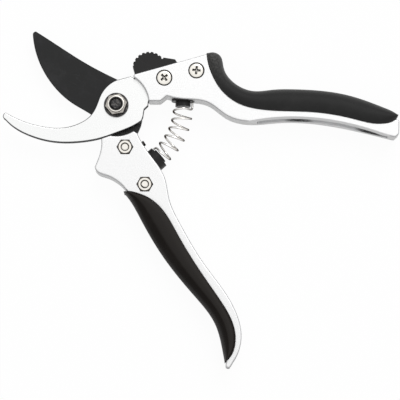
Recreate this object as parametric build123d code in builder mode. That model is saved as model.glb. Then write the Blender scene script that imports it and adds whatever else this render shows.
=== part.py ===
from build123d import *
import math
import os

# Pruning shears lying flat and open; millimetres, +Z up.
# The pivot axis is the Z axis and the underside of the pivot bolt's head is at Z = 0.

# Thicknesses of the layers, from the resting plane upwards
BOLT_HEAD_HEIGHT = 3.4
BACK_WASHER_THICKNESS = 1.2
BLADE_THICKNESS = 3.4
HOOK_THICKNESS = 4.0
TOP_WALL = 3.0
HANDLE_THICKNESS = 13.0
GRIP_THICKNESS = 17.0
RIB_THICKNESS = 6.0

# Pivot
PIVOT_DIAMETER = 8.0
PIVOT_FLATS = 7.0
PIVOT_THREAD = 6.0
BOLT_HEAD_DIAMETER = 15.0
BACK_WASHER_DIAMETER = 14.0
WASHER_DIAMETER = 13.0
WASHER_THICKNESS = 0.9
PIVOT_NUT_FLATS = 10.0
PIVOT_NUT_HEIGHT = 4.2
COLLAR_HEIGHT = 1.2
COLLAR_DIAMETER = 9.0
COLLAR_ROUND = 0.4
PIVOT_NUT_TURN = 10.0
BOLT_CHAMFER = 0.5
BOLT_END_SUNK = 0.5
INSERT_DIAMETER = 7.4
INSERT_HEIGHT = 1.3
INSERT_RECESS = 0.3
RUNNING_CLEARANCE = 0.05

# Fasteners of the two blades
SCREW_DIAMETER = 4.0
SCREW_HEAD_DIAMETER = 8.0
SCREW_HEAD_HEIGHT = 2.4
SCREW_HEAD_SINK = 1.7
HEAD_ROUND = 1.3
HEAD_CLEARANCE = 0.35
NUT_FLATS = 7.0
NUT_HEIGHT = 3.2
NUT_PROUD = 0.6
NUT_CLEARANCE = 0.4
NUT_CHAMFER_CIRCLE = 0.94
NUT_CHAMFER_SLOPE = 30.0
BORE_CHAMFER = 0.3
SCREW_END_PROUD = 0.3
SCREW_END_CHAMFER = 0.5
CROSS_WIDTH = 1.2
CROSS_LENGTH = 4.4
CROSS_DEPTH = 1.5
CROSS_TAPER = 15.0
FIT_CLEARANCE = 0.15

# Working movement
CLOSING_ANGLE = 46.5
LOCK_TRAVEL = 4.0

# Back edge of the upper handle: its slope and its distance from the pivot
SPINE_SLOPE = 15.8
SPINE_OFFSET = 12.9
SPINE_LENGTH = 53.6
UPPER_ARC = 17.3
LOWER_ARC = 17.0
BLADE_HEAD_RADIUS = 13.4
SHELF_HEIGHT = 1.8

# Lock
LOCK_FRONT = 11.8
LOCK_REAR = 23.0
LOCK_LOW = 7.4
LOCK_WIDTH = 4.0
LOCK_PLATE_THICKNESS = 2.6
LOCK_HEADROOM = 0.2
STEM_FRONT = 16.8
STEM_REAR = 22.4
STEM_RISE = 5.4
LOCK_CLEARANCE = 0.4
BUTTON_WIDTH = 9.0
BUTTON_CLEARANCE = 0.15
BUTTON_FRONT = 14.0
BUTTON_REAR = 37.2
DOME_CENTRE = 22.1
DOME_RISE = 1.1
DOME_RADIUS = 8.9
TAIL_HEIGHT = 5.0
TAIL_END_HEIGHT = 2.0
TAIL_END_LEAN = 0.6
TOOTH_COUNT = 9
TOOTH_RADIUS = 0.6
TOOTH_FIRST = 24.0
TOOTH_STEP = 16.0
LOCK_PIN_DIAMETER = 2.0
LOCK_PIN_LENGTH = 6.0
LEAF_THICKNESS = 0.4
LEAF_RISE = 1.4
LEAF_GAP = 0.3
LEAF_HALF_LENGTH = 4.6
LEAF_SHIFT = 1.0
LEAF_FOOT = 1.2

# Return spring and its seats
SPRING_ORBIT = 35.3
COIL_RADIUS = 4.95
WIRE_DIAMETER = 1.2
QUARTER_TURNS = 22
UPPER_FLANGE_ANGLE = 3.8
UPPER_PEG_ANGLE = -0.6
LOWER_FLANGE_ANGLE = -50.4
LOWER_PEG_ANGLE = -48.6
COIL_START_ANGLE = -0.8
COIL_END_ANGLE = -46.8
PEG_CLEARANCE = 0.3
FLANGE_DIAMETER = 12.2
UPPER_FLANGE_THICKNESS = 2.4
LOWER_FLANGE_THICKNESS = 4.2
PLUG_DIAMETER = 7.0
PLUG_LENGTH = 2.4
SPRING_END_GAP = 0.05

# Stop bumper
BUMPER_DIAMETER = 2.8
BUMPER_LENGTH = 2.6
BUMPER_PROUD = 0.7

# Edges
GRIP_ROUND = 3.0
HANDLE_ROUND = 0.8
HOOK_ROUND = 0.5
CORNER_ROUND = 1.0
BEVEL_HEIGHT = 2.6
BEVEL_WIDTH = 4.5
GROOVE_WIDTH = 4.5
GROOVE_DEPTH = 3.2
LEAN_INSET = 1.7
LEAN_START = 2.0

# Levels derived from the thicknesses
blade_bottom = BOLT_HEAD_HEIGHT + BACK_WASHER_THICKNESS
blade_top = blade_bottom + BLADE_THICKNESS
hook_top = blade_top + HOOK_THICKNESS
handle_top = hook_top + TOP_WALL
handle_bottom = handle_top - HANDLE_THICKNESS
middle = (handle_top + handle_bottom) / 2
nut_bottom = hook_top + WASHER_THICKNESS
nut_top = nut_bottom + PIVOT_NUT_HEIGHT
lock_top = blade_top - LOCK_HEADROOM
lock_bottom = lock_top - LOCK_PLATE_THICKNESS
lock_high = LOCK_LOW + LOCK_WIDTH
button_foot = SPINE_OFFSET + BUTTON_CLEARANCE
peg_diameter = 2 * (COIL_RADIUS - WIRE_DIAMETER / 2 - PEG_CLEARANCE)


def on_spine(along, out, turn=0.0):
    """Point along the back edge's direction and out from the pivot towards that edge."""
    slope = math.radians(SPINE_SLOPE + turn)
    x = along * math.cos(slope) - out * math.sin(slope)
    y = along * math.sin(slope) + out * math.cos(slope)
    return (x, y)


def on_ring(radius, angle):
    """Point at a radius and an angle in degrees about the pivot."""
    turn = math.radians(angle)
    return (radius * math.cos(turn), radius * math.sin(turn))


def spine_box(front, rear, low, high, turn=0.0):
    """Corners of a box that lies along the back edge."""
    corners = [(front, low), (rear, low), (rear, high), (front, high)]
    return [on_spine(along, out, turn) for along, out in corners]


def beside(points, way, distance):
    """Points moved along one way."""
    return [(x + way[0] * distance, y + way[1] * distance) for x, y in points]


# Outline of the hook, as seen from above
spine_start = on_spine(3.5, SPINE_OFFSET)
hook_outer = [(13.4, -8.3), (9.1, -11.0), (1.0, -14.4), (-8.1, -17.6), (-18.6, -19.5)]
hook_outer += [(-33.1, -19.5), (-45.4, -16.3), (-55.1, -11.0), (-58.8, -7.5)]
hook_tip = (-59.9, -5.7)
hook_inner = [(-58.4, -4.0), (-48.5, -8.8), (-38.8, -11.4), (-28.7, -12.1), (-19.5, -9.6)]
hook_inner += [(-14.2, -6.1), (-10.5, -0.2), (-8.3, 5.5), (-3.6, 11.4), spine_start]
hook_tang = [spine_start, on_spine(11.3, SPINE_OFFSET), on_spine(13.3, 11.0)]
hook_tang += [on_spine(50.0, 10.0), on_spine(50.0, 2.0), on_spine(18.2, -1.2), (16.9, 1.2)]
hook_tang += [(16.9, -0.2), (14.8, -2.2), (14.2, -6.1), (13.4, -8.3)]

# Outline of the cutting blade
blade_edge = [(-44.8, 38.9), (-44.3, 34.6), (-41.0, 23.3), (-33.6, 11.1), (-23.3, 1.6)]
blade_edge += [(-13.4, -4.4), (-8.5, -8.5)]
blade_tip = (-44.4, 39.9)
blade_spine = [on_ring(BLADE_HEAD_RADIUS, 75.0), (-1.0, 15.1), (-15.8, 22.9), (-32.8, 33.8)]
blade_spine += [(-43.1, 40.5)]
blade_heel = [(-8.5, -8.5), (-5.2, -18.5), (-2.6, -25.0), (10.9, -44.2)]
blade_tang_end = (16.6, -46.1)
blade_tang = [(19.0, -40.8), (9.0, -17.6), (11.4, -13.9), (12.9, -10.5), (13.6, -7.6)]

# Outlines of the two handles: the edge towards the other handle, and the edge below the grip.
# The upper handle's inner wall leans back along a line that leaves the metal at both ends.
upper_inner = [(147.1, -17.6), (125.5, -12.3), (105.2, -8.8), (86.2, -8.2), (70.8, -9.2)]
upper_inner += [(58.1, -5.8), (48.6, 0.9), (33.8, 3.0), (26.8, 4.6)]
upper_lean = [(150.0, -20.9), (125.5, -12.4), (105.2, -8.8), (86.2, -8.4), (66.0, -11.6)]
upper_end = [(149.4, -8.6), (149.2, -15.8), upper_inner[0]]
upper_core = [on_spine(SPINE_LENGTH, SPINE_OFFSET), (51.6, 22.5), (55.5, 14.5), (62.5, 7.4)]
upper_core += [(75.0, 3.6), (95.0, 4.4), (120.0, 1.4), (141.0, -5.6), (149.4, -8.6)]
shelf_corner = (23.4, SHELF_HEIGHT)
lower_left = [(-7.8, -18.3), (-7.7, -22.5), (-9.4, -29.3), (-11.1, -33.4)]
lower_corner = lower_left[0]
lower_guard = [(-11.1, -33.4), (-10.0, -35.6), (-3.8, -38.3), (0.4, -40.6), (5.0, -45.0)]
lower_core = [(5.0, -45.0), (17.5, -61.5), (30.0, -82.0), (45.0, -101.5)]
lower_core += [(55.0, -116.0), (57.8, -130.0), (57.6, -138.4)]
lower_tip = [(57.6, -138.4), (59.5, -139.2), (61.6, -135.8)]
lower_inner = [(61.6, -135.8), (65.9, -121.4), (59.5, -102.8), (46.9, -85.1)]
lower_inner += [(33.3, -62.3), (28.3, -50.8), (25.9, -39.4), (16.8, -25.2), (11.3, -15.6)]

# Outlines of the two grips: outer side and inner side
upper_grip_outer = [(47.8, 27.3), (51.3, 28.3), (54.8, 26.9), (56.5, 20.7), (62.2, 12.0)]
upper_grip_outer += [(72.7, 7.5), (94.3, 8.5), (122.7, 5.1), (146.4, -4.1), (148.9, -6.2)]
upper_grip_inner = [(148.9, -6.2), (146.6, -8.9), (140.3, -10.5), (125.5, -8.0), (103.8, -4.3)]
upper_grip_inner += [(76.7, -2.9), (64.3, 0.5), (52.6, 11.8), (47.8, 27.3)]
lower_grip_outer = [(57.2, -136.4), (52.2, -115.7), (41.3, -101.3), (25.8, -82.1)]
lower_grip_outer += [(13.1, -60.9), (6.2, -49.2), (3.2, -46.0)]
lower_grip_inner = [(3.2, -46.0), (13.7, -48.0), (23.4, -55.1), (31.4, -67.4)]
lower_grip_inner += [(42.9, -86.3), (55.3, -104.2), (62.6, -120.1), (60.9, -132.2), (57.2, -136.4)]

# Runs of the lengthwise grooves in the inner edges of the handles, and the way into the metal
upper_groove = [(143.6, -16.7), (125.5, -12.3), (105.2, -8.8), (86.2, -8.2), (74.5, -8.8)]
upper_groove_in = (0.0, 1.0)
lower_groove = [(60.4, -139.6), (63.6, -131.0), (65.9, -121.4), (59.5, -102.8), (46.9, -85.1)]
lower_groove_in = (-0.95, -0.3)

# Places of the fasteners and of the stop bumper
hook_screw_places = [(25.4, 14.2), (42.4, 18.1)]
blade_screw_places = [(4.8, -22.8), (15.3, -42.6)]
hook_screw_turns = [40.0, -6.0]
blade_screw_turns = [15.0, 62.0]
hook_nut_turns = [SPINE_SLOPE + 30.0] * 2
blade_nut_turns = [0.0] * 2
bumper_place = (14.4, -20.1)
bumper_angle = 33.0

os.makedirs("parts", exist_ok=True)


def keep(piece, label):
    """Name a piece and write its file."""
    piece.part.label = label
    export_step(piece.part, f"parts/{label}.step")


def seat_plane(angle, side):
    """Plane through a spring seat's axis: x out from the pivot, y into the handle."""
    x, y = on_ring(SPRING_ORBIT, angle)
    return Plane(origin=(x, y, middle), x_dir=on_ring(1.0, angle) + (0,), z_dir=(0, 0, side))


def seat_edges(peg_length, flange_thickness):
    """Half section of a spring seat: peg, flange and plug."""
    flange_end = peg_length + flange_thickness
    plug_end = flange_end + PLUG_LENGTH
    with BuildLine() as outline:
        Polyline(
            (0, 0),
            (peg_diameter / 2, 0),
            (peg_diameter / 2, peg_length),
            (FLANGE_DIAMETER / 2, peg_length),
            (FLANGE_DIAMETER / 2, flange_end),
            (PLUG_DIAMETER / 2, flange_end),
            (PLUG_DIAMETER / 2, plug_end),
            (0, plug_end),
            close=True,
        )
    return outline.edges()


upper_seat_plane = seat_plane(UPPER_PEG_ANGLE, 1)
lower_seat_plane = seat_plane(LOWER_PEG_ANGLE, -1)
upper_seat_axis = Axis(upper_seat_plane.origin, upper_seat_plane.y_dir)
lower_seat_axis = Axis(lower_seat_plane.origin, lower_seat_plane.y_dir)
upper_peg_length = SPRING_ORBIT * math.radians(UPPER_FLANGE_ANGLE - UPPER_PEG_ANGLE)
lower_peg_length = SPRING_ORBIT * math.radians(LOWER_PEG_ANGLE - LOWER_FLANGE_ANGLE)
bumper_out = on_ring(1.0, bumper_angle)
bumper_sunk = BUMPER_LENGTH - BUMPER_PROUD
bumper_foot = (
    bumper_place[0] - bumper_sunk * bumper_out[0],
    bumper_place[1] - bumper_sunk * bumper_out[1],
    middle,
)
bumper_plane = Plane(origin=bumper_foot, z_dir=bumper_out + (0,))

# Flat plans of the pieces that are cut from an outline
with BuildSketch() as hook_plan:
    with BuildLine():
        Spline(*hook_outer)
        ThreePointArc(hook_outer[-1], hook_tip, hook_inner[0])
        Spline(*hook_inner)
        Polyline(*hook_tang)
    make_face()

head_end = on_ring(BLADE_HEAD_RADIUS, -20.0)
with BuildSketch() as blade_plan:
    with BuildLine():
        Spline(*blade_edge)
        Polyline(*blade_heel)
        ThreePointArc(blade_heel[-1], blade_tang_end, blade_tang[0])
        Polyline(*blade_tang, head_end)
        ThreePointArc(head_end, on_ring(BLADE_HEAD_RADIUS, 35.0), blade_spine[0])
        Spline(*blade_spine)
        ThreePointArc(blade_spine[-1], blade_tip, blade_edge[0])
    make_face()

arc_top = on_spine(math.sqrt(UPPER_ARC**2 - SPINE_OFFSET**2), SPINE_OFFSET)
arc_low = (math.sqrt(UPPER_ARC**2 - SHELF_HEIGHT**2), SHELF_HEIGHT)
with BuildSketch() as upper_plan:
    with BuildLine():
        ThreePointArc(arc_low, on_ring(UPPER_ARC, 35.0), arc_top)
        Line(arc_top, upper_core[0])
        Spline(*upper_core)
        Polyline(*upper_end)
        Spline(*upper_inner)
        Polyline(upper_inner[-1], shelf_corner, arc_low)
    make_face()
    for corner in upper_end + [upper_inner[-1], shelf_corner, arc_low, arc_top, upper_core[0]]:
        fillet(upper_plan.vertices().sort_by_distance(corner)[0], radius=CORNER_ROUND)

arc_left = on_ring(LOWER_ARC, -100.6)
arc_right = on_ring(LOWER_ARC, -56.8)
with BuildSketch() as lower_plan:
    with BuildLine():
        ThreePointArc(arc_left, on_ring(LOWER_ARC, -80.0), arc_right)
        Line(arc_right, lower_inner[-1])
        Spline(*lower_inner)
        Polyline(*lower_tip)
        Spline(*lower_core)
        Spline(*lower_guard)
        Spline(*lower_left)
        Line(lower_corner, arc_left)
    make_face()
    for corner in lower_tip + [lower_corner, lower_guard[0], lower_inner[-1], lower_core[0]]:
        fillet(lower_plan.vertices().sort_by_distance(corner)[0], radius=CORNER_ROUND)

with BuildSketch() as upper_grip_plan:
    with BuildLine():
        Spline(*upper_grip_outer)
        Spline(*upper_grip_inner)
    make_face()

with BuildSketch() as lower_grip_plan:
    with BuildLine():
        Spline(*lower_grip_outer)
        Spline(*lower_grip_inner)
    make_face()

# Hook
with BuildPart() as hook_blade:
    with BuildSketch(Plane.XY.offset(blade_top)):
        add(hook_plan.sketch)
    extrude(amount=HOOK_THICKNESS)
    fillet(hook_blade.edges().group_by(Axis.Z)[-1], radius=HOOK_ROUND)
    with BuildSketch(Plane.XY.offset(blade_top)):
        Circle(PIVOT_DIAMETER / 2 + RUNNING_CLEARANCE)
        Rectangle(PIVOT_DIAMETER * 2, PIVOT_FLATS + 2 * RUNNING_CLEARANCE, mode=Mode.INTERSECT)
    extrude(amount=HOOK_THICKNESS, mode=Mode.SUBTRACT)
    with BuildSketch(Plane.XY.offset(blade_top)):
        with Locations(*hook_screw_places):
            Circle(SCREW_DIAMETER / 2 + FIT_CLEARANCE)
    extrude(amount=HOOK_THICKNESS, mode=Mode.SUBTRACT)
keep(hook_blade, "hook_blade")

# Cutting blade, with a notch for the lock when shut and one when open
with BuildPart() as cutting_blade:
    with BuildSketch(Plane.XY.offset(blade_bottom)):
        add(blade_plan.sketch)
        Circle(PIVOT_DIAMETER / 2 + RUNNING_CLEARANCE, mode=Mode.SUBTRACT)
        with Locations(*blade_screw_places):
            Circle(SCREW_DIAMETER / 2 + FIT_CLEARANCE, mode=Mode.SUBTRACT)
        for notch_turn in (0.0, -CLOSING_ANGLE):
            with BuildLine():
                Polyline(
                    *spine_box(
                        LOCK_FRONT - LOCK_TRAVEL - LOCK_CLEARANCE,
                        LOCK_REAR,
                        LOCK_LOW - LOCK_CLEARANCE,
                        lock_high + LOCK_CLEARANCE,
                        notch_turn,
                    ),
                    close=True,
                )
            make_face(mode=Mode.SUBTRACT)
    extrude(amount=BLADE_THICKNESS)
    with BuildLine(Plane.XY.offset(blade_bottom)) as cutting_line:
        edge_curve = Spline(*blade_edge)
        bevel_start = edge_curve @ 0 - (edge_curve % 0) * BEVEL_WIDTH
        Line(bevel_start, edge_curve @ 0)
    with BuildSketch(Plane(origin=bevel_start, x_dir=(0, 0, 1), z_dir=edge_curve % 0)):
        with BuildLine():
            Polyline(
                (-BEVEL_HEIGHT, -2 * BEVEL_WIDTH),
                (BEVEL_HEIGHT, 0),
                (BEVEL_HEIGHT, BEVEL_WIDTH),
                (-BEVEL_HEIGHT, BEVEL_WIDTH),
                close=True,
            )
        make_face()
    sweep(path=cutting_line.wire(), mode=Mode.SUBTRACT)
keep(cutting_blade, "cutting_blade")

# Upper handle
with BuildPart() as upper_handle:
    with BuildSketch(Plane.XY.offset(handle_bottom)):
        add(upper_plan.sketch)
    extrude(amount=HANDLE_THICKNESS)
    rims = upper_handle.edges().group_by(Axis.Z)
    fillet(rims[0] + rims[-1], radius=HANDLE_ROUND)
    with BuildSketch(Plane.XY.offset(handle_bottom)):
        add(upper_grip_plan.sketch)
    extrude(amount=HANDLE_THICKNESS, mode=Mode.SUBTRACT)
    with BuildSketch(Plane.XY.offset(middle - RIB_THICKNESS / 2)):
        add(upper_plan.sketch)
    extrude(amount=RIB_THICKNESS)
    with BuildSketch(Plane.XY.offset(blade_top)):
        add(hook_plan.sketch)
        offset(amount=FIT_CLEARANCE)
    extrude(amount=HOOK_THICKNESS, mode=Mode.SUBTRACT)
    with BuildSketch(Plane.XY.offset(lock_bottom - LOCK_HEADROOM)):
        with BuildLine():
            Polyline(
                *spine_box(
                    LOCK_FRONT - LOCK_TRAVEL,
                    LOCK_REAR + LOCK_CLEARANCE,
                    LOCK_LOW - LEAF_GAP - LEAF_RISE,
                    lock_high + LOCK_CLEARANCE,
                ),
                close=True,
            )
        make_face()
        with BuildLine():
            Polyline(
                *spine_box(
                    STEM_FRONT - LOCK_TRAVEL - LOCK_CLEARANCE,
                    STEM_REAR + LOCK_CLEARANCE,
                    lock_high,
                    SPINE_OFFSET * 2,
                ),
                close=True,
            )
        make_face()
    extrude(amount=blade_top - lock_bottom + LOCK_HEADROOM, mode=Mode.SUBTRACT)
    with Locations(*[place + (handle_top,) for place in hook_screw_places]):
        CounterBoreHole(
            SCREW_DIAMETER / 2 + FIT_CLEARANCE,
            SCREW_HEAD_DIAMETER / 2 + HEAD_CLEARANCE,
            SCREW_HEAD_SINK,
            HANDLE_THICKNESS,
        )
    with BuildSketch(Plane.XY.offset(handle_bottom)):
        with Locations(*hook_screw_places):
            RegularPolygon(
                NUT_FLATS / 2 + NUT_CLEARANCE, 6, major_radius=False, rotation=hook_nut_turns[0]
            )
    extrude(amount=NUT_HEIGHT - NUT_PROUD, mode=Mode.SUBTRACT)
    with BuildLine(Plane.XY.offset(handle_bottom)) as lean_line:
        lean_curve = Spline(*upper_lean)
    with BuildSketch(Plane(origin=lean_curve @ 0, x_dir=(0, 0, 1), z_dir=lean_curve % 0)):
        with BuildLine():
            Polyline(
                (LEAN_START, 0),
                (HANDLE_THICKNESS, LEAN_INSET),
                (HANDLE_THICKNESS + LEAN_START, LEAN_INSET),
                (HANDLE_THICKNESS + LEAN_START, -LEAN_INSET),
                (LEAN_START, -LEAN_INSET),
                close=True,
            )
        make_face()
    sweep(path=lean_line.wire(), mode=Mode.SUBTRACT)
    with BuildSketch(upper_seat_plane):
        make_face(seat_edges(upper_peg_length, UPPER_FLANGE_THICKNESS))
    revolve(axis=upper_seat_axis, mode=Mode.SUBTRACT)
    with BuildSketch(Plane.XY.offset(middle - GROOVE_WIDTH / 2)):
        with BuildLine():
            floor = Spline(*beside(upper_groove, upper_groove_in, GROOVE_DEPTH))
            mouth = Polyline(*beside(upper_groove, upper_groove_in, -GROOVE_WIDTH))
            Line(floor @ 0, mouth @ 0)
            Line(floor @ 1, mouth @ 1)
        make_face()
    extrude(amount=GROOVE_WIDTH, mode=Mode.SUBTRACT)
keep(upper_handle, "upper_handle")

# Lower handle
with BuildPart() as lower_handle:
    with BuildSketch(Plane.XY.offset(handle_bottom)):
        add(lower_plan.sketch)
    extrude(amount=HANDLE_THICKNESS)
    rims = lower_handle.edges().group_by(Axis.Z)
    fillet(rims[0] + rims[-1], radius=HANDLE_ROUND)
    with BuildSketch(Plane.XY.offset(handle_bottom)):
        add(lower_grip_plan.sketch)
    extrude(amount=HANDLE_THICKNESS, mode=Mode.SUBTRACT)
    with BuildSketch(Plane.XY.offset(middle - RIB_THICKNESS / 2)):
        add(lower_plan.sketch)
    extrude(amount=RIB_THICKNESS)
    with BuildSketch(Plane.XY.offset(blade_bottom)):
        add(blade_plan.sketch)
        offset(amount=FIT_CLEARANCE)
    extrude(amount=BLADE_THICKNESS, mode=Mode.SUBTRACT)
    with BuildSketch(Plane.XY.offset(handle_bottom)):
        with Locations(*blade_screw_places):
            Circle(SCREW_DIAMETER / 2 + FIT_CLEARANCE)
    extrude(amount=HANDLE_THICKNESS, mode=Mode.SUBTRACT)
    with BuildSketch(Plane.XY.offset(handle_bottom)):
        with Locations(*blade_screw_places):
            Circle(SCREW_HEAD_DIAMETER / 2 + HEAD_CLEARANCE)
    extrude(amount=SCREW_HEAD_SINK, mode=Mode.SUBTRACT)
    with BuildSketch(Plane.XY.offset(handle_top)):
        with Locations(*blade_screw_places):
            RegularPolygon(
                NUT_FLATS / 2 + NUT_CLEARANCE, 6, major_radius=False, rotation=blade_nut_turns[0]
            )
    extrude(amount=NUT_PROUD - NUT_HEIGHT, mode=Mode.SUBTRACT)
    with BuildSketch(lower_seat_plane):
        make_face(seat_edges(lower_peg_length, LOWER_FLANGE_THICKNESS))
    revolve(axis=lower_seat_axis, mode=Mode.SUBTRACT)
    with BuildSketch(bumper_plane):
        Circle(BUMPER_DIAMETER / 2)
    extrude(amount=BUMPER_LENGTH, mode=Mode.SUBTRACT)
    with BuildSketch(Plane.XY.offset(middle - GROOVE_WIDTH / 2)):
        with BuildLine():
            floor = Spline(*beside(lower_groove, lower_groove_in, GROOVE_DEPTH))
            mouth = Polyline(*beside(lower_groove, lower_groove_in, -GROOVE_WIDTH))
            Line(floor @ 0, mouth @ 0)
            Line(floor @ 1, mouth @ 1)
        make_face()
    extrude(amount=GROOVE_WIDTH, mode=Mode.SUBTRACT)
keep(lower_handle, "lower_handle")

# Grips
with BuildPart() as upper_grip:
    with BuildSketch(Plane.XY.offset(middle - GRIP_THICKNESS / 2)):
        add(upper_grip_plan.sketch)
    extrude(amount=GRIP_THICKNESS)
    rims = upper_grip.edges().group_by(Axis.Z)
    fillet(rims[0] + rims[-1], radius=GRIP_ROUND)
    with BuildSketch(Plane.XY.offset(middle - RIB_THICKNESS / 2)):
        add(upper_plan.sketch)
    extrude(amount=RIB_THICKNESS, mode=Mode.SUBTRACT)
keep(upper_grip, "upper_grip")

with BuildPart() as lower_grip:
    with BuildSketch(Plane.XY.offset(middle - GRIP_THICKNESS / 2)):
        add(lower_grip_plan.sketch)
    extrude(amount=GRIP_THICKNESS)
    rims = lower_grip.edges().group_by(Axis.Z)
    fillet(rims[0] + rims[-1], radius=GRIP_ROUND)
    with BuildSketch(Plane.XY.offset(middle - RIB_THICKNESS / 2)):
        add(lower_plan.sketch)
    extrude(amount=RIB_THICKNESS, mode=Mode.SUBTRACT)
keep(lower_grip, "lower_grip")

# Spring seats and stop bumper
with BuildPart() as upper_spring_seat:
    with BuildSketch(upper_seat_plane):
        make_face(seat_edges(upper_peg_length, UPPER_FLANGE_THICKNESS))
    revolve(axis=upper_seat_axis)
keep(upper_spring_seat, "upper_spring_seat")

with BuildPart() as lower_spring_seat:
    with BuildSketch(lower_seat_plane):
        make_face(seat_edges(lower_peg_length, LOWER_FLANGE_THICKNESS))
    revolve(axis=lower_seat_axis)
keep(lower_spring_seat, "lower_spring_seat")

with BuildPart() as stop_bumper:
    with BuildSketch(bumper_plane):
        Circle(BUMPER_DIAMETER / 2)
    extrude(amount=BUMPER_LENGTH)
keep(stop_bumper, "stop_bumper")


# Fasteners of the two blades: one screw and one nut, each placed twice on either side
screw_length = HANDLE_THICKNESS - SCREW_HEAD_SINK + NUT_PROUD + SCREW_END_PROUD
with BuildPart() as screw:
    with BuildSketch():
        Circle(SCREW_HEAD_DIAMETER / 2)
    extrude(amount=SCREW_HEAD_HEIGHT)
    fillet(screw.edges().group_by(Axis.Z)[-1], radius=HEAD_ROUND)
    with BuildSketch():
        Circle(SCREW_DIAMETER / 2)
    extrude(amount=-screw_length)
    chamfer(screw.edges().group_by(Axis.Z)[0], length=SCREW_END_CHAMFER)
    with BuildSketch(Plane.XY.offset(SCREW_HEAD_HEIGHT)):
        Rectangle(CROSS_LENGTH, CROSS_WIDTH)
        Rectangle(CROSS_WIDTH, CROSS_LENGTH)
    extrude(amount=-CROSS_DEPTH, taper=CROSS_TAPER, mode=Mode.SUBTRACT)


def hex_envelope(flats, height):
    """Half section of the turned shape that bevels a nut's corners."""
    corner = flats / math.sqrt(3)
    circle = flats / 2 * NUT_CHAMFER_CIRCLE
    drop = (corner - circle) * math.tan(math.radians(NUT_CHAMFER_SLOPE))
    with BuildLine() as outline:
        Polyline(
            (0, 0),
            (circle, 0),
            (corner, drop),
            (corner, height - drop),
            (circle, height),
            (0, height),
            close=True,
        )
    return outline.edges()


def is_bore(edge):
    """Whether an edge is a rim of a nut's bore."""
    return edge.geom_type == GeomType.CIRCLE and edge.radius < SCREW_DIAMETER / 2 + FIT_CLEARANCE


with BuildPart() as nut:
    with BuildSketch():
        RegularPolygon(NUT_FLATS / 2, 6, major_radius=False)
    extrude(amount=NUT_HEIGHT)
    with BuildSketch(Plane.XZ):
        make_face(hex_envelope(NUT_FLATS, NUT_HEIGHT))
    revolve(axis=Axis.Z, mode=Mode.INTERSECT)
    with BuildSketch():
        Circle(SCREW_DIAMETER / 2)
    extrude(amount=NUT_HEIGHT, mode=Mode.SUBTRACT)
    chamfer(nut.edges().filter_by(is_bore), length=BORE_CHAMFER)


def placed(piece, places, level, turns, flip=0.0):
    """Copies of a piece at places on one level, each turned about its own axis."""
    spots = [Location((x, y, level), (flip, 0, turn)) for (x, y), turn in zip(places, turns)]
    with BuildPart() as group:
        with Locations(*spots):
            add(piece.part)
    return group


hook_nut_level = handle_bottom - NUT_PROUD
blade_nut_level = handle_top + NUT_PROUD - NUT_HEIGHT
hook_screws = placed(screw, hook_screw_places, handle_top - SCREW_HEAD_SINK, hook_screw_turns)
keep(hook_screws, "hook_screws")
hook_nuts = placed(nut, hook_screw_places, hook_nut_level, hook_nut_turns)
keep(hook_nuts, "hook_nuts")
blade_screw_level = handle_bottom + SCREW_HEAD_SINK
blade_screws = placed(screw, blade_screw_places, blade_screw_level, blade_screw_turns, flip=180.0)
keep(blade_screws, "blade_screws")
blade_nuts = placed(nut, blade_screw_places, blade_nut_level, blade_nut_turns)
keep(blade_nuts, "blade_nuts")

# Pivot
with BuildPart() as pivot_bolt:
    with BuildSketch():
        Circle(BOLT_HEAD_DIAMETER / 2)
    extrude(amount=BOLT_HEAD_HEIGHT)
    with BuildSketch(Plane.XY.offset(BOLT_HEAD_HEIGHT)):
        Circle(PIVOT_DIAMETER / 2)
    extrude(amount=blade_top - BOLT_HEAD_HEIGHT)
    with BuildSketch(Plane.XY.offset(blade_top)):
        Circle(PIVOT_DIAMETER / 2)
        Rectangle(PIVOT_DIAMETER * 2, PIVOT_FLATS, mode=Mode.INTERSECT)
    extrude(amount=HOOK_THICKNESS)
    with BuildSketch(Plane.XY.offset(hook_top)):
        Circle(PIVOT_THREAD / 2)
    extrude(amount=nut_top - hook_top - BOLT_END_SUNK)
    chamfer(pivot_bolt.edges().group_by(Axis.Z)[-1], length=BOLT_CHAMFER)
keep(pivot_bolt, "pivot_bolt")

with BuildPart() as pivot_back_washer:
    with BuildSketch(Plane.XY.offset(BOLT_HEAD_HEIGHT)):
        Circle(BACK_WASHER_DIAMETER / 2)
        Circle(PIVOT_DIAMETER / 2 + FIT_CLEARANCE, mode=Mode.SUBTRACT)
    extrude(amount=BACK_WASHER_THICKNESS)
keep(pivot_back_washer, "pivot_back_washer")

with BuildPart() as pivot_washer:
    with BuildSketch(Plane.XY.offset(hook_top)):
        Circle(WASHER_DIAMETER / 2)
        Circle(PIVOT_THREAD / 2 + FIT_CLEARANCE, mode=Mode.SUBTRACT)
    extrude(amount=WASHER_THICKNESS)
keep(pivot_washer, "pivot_washer")

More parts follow.
